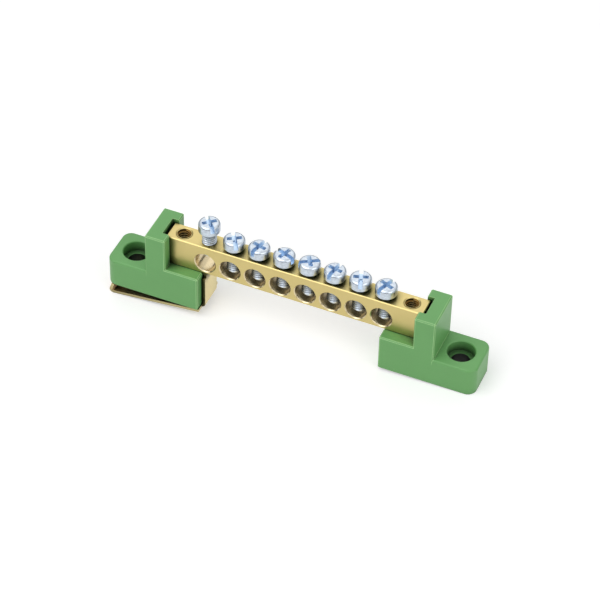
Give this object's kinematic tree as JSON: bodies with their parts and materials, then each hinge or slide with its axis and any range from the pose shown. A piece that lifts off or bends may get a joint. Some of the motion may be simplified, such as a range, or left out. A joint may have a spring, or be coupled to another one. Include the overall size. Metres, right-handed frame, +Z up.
{
  "type": "earth terminal bar",
  "caption": "Brass earth terminal bar with clamp screws, carried on two screw-down green plastic feet, with a springy brass earthing contact under one foot.",
  "frame": {"origin": "middle of the object in plan, at the level of its lowest point, the contact strip's free end", "axes": "+X along the bar towards the foot without the strip, +Y from front to back, +Z up, towards the heads of the clamp screws"},
  "size_m": [0.1032, 0.0122, 0.0297],
  "materials": {
    "bar_brass": "milled, satin",
    "strip_brass": "rolled sheet, satin",
    "holder_plastic": "moulded, satin",
    "screw_zinc": "bright blue-white zinc plating"
  },
  "bodies": {
    "bar_on_holders": {"terminal_bar": "bar_brass", "left_holder": "holder_plastic", "right_holder": "holder_plastic", "left_holder_screw": "screw_zinc", "right_holder_screw": "screw_zinc", "contact_strip": "strip_brass"},
    "clamp_screw_1": {"clamp_screw_1": "screw_zinc"},
    "clamp_screw_2": {"clamp_screw_2": "screw_zinc"},
    "clamp_screw_3": {"clamp_screw_3": "screw_zinc"},
    "clamp_screw_4": {"clamp_screw_4": "screw_zinc"},
    "clamp_screw_5": {"clamp_screw_5": "screw_zinc"},
    "clamp_screw_6": {"clamp_screw_6": "screw_zinc"},
    "clamp_screw_7": {"clamp_screw_7": "screw_zinc"},
    "clamp_screw_8": {"clamp_screw_8": "screw_zinc"}
  },
  "joints": [
    {"name": "clamp_screw_1_travel", "type": "slide", "parent": "bar_on_holders", "child": "clamp_screw_1", "axis": [0, 0, 1], "range_m": [-0.0033, 0.0015]},
    {"name": "clamp_screw_2_travel", "type": "slide", "parent": "bar_on_holders", "child": "clamp_screw_2", "axis": [0, 0, 1], "range_m": [-0.0003, 0.0045]},
    {"name": "clamp_screw_3_travel", "type": "slide", "parent": "bar_on_holders", "child": "clamp_screw_3", "axis": [0, 0, 1], "range_m": [-0.0003, 0.0045]},
    {"name": "clamp_screw_4_travel", "type": "slide", "parent": "bar_on_holders", "child": "clamp_screw_4", "axis": [0, 0, 1], "range_m": [-0.0003, 0.0045]},
    {"name": "clamp_screw_5_travel", "type": "slide", "parent": "bar_on_holders", "child": "clamp_screw_5", "axis": [0, 0, 1], "range_m": [-0.0003, 0.0045]},
    {"name": "clamp_screw_6_travel", "type": "slide", "parent": "bar_on_holders", "child": "clamp_screw_6", "axis": [0, 0, 1], "range_m": [-0.0003, 0.0045]},
    {"name": "clamp_screw_7_travel", "type": "slide", "parent": "bar_on_holders", "child": "clamp_screw_7", "axis": [0, 0, 1], "range_m": [-0.0003, 0.0045]},
    {"name": "clamp_screw_8_travel", "type": "slide", "parent": "bar_on_holders", "child": "clamp_screw_8", "axis": [0, 0, 1], "range_m": [-0.0003, 0.0045]}
  ]
}
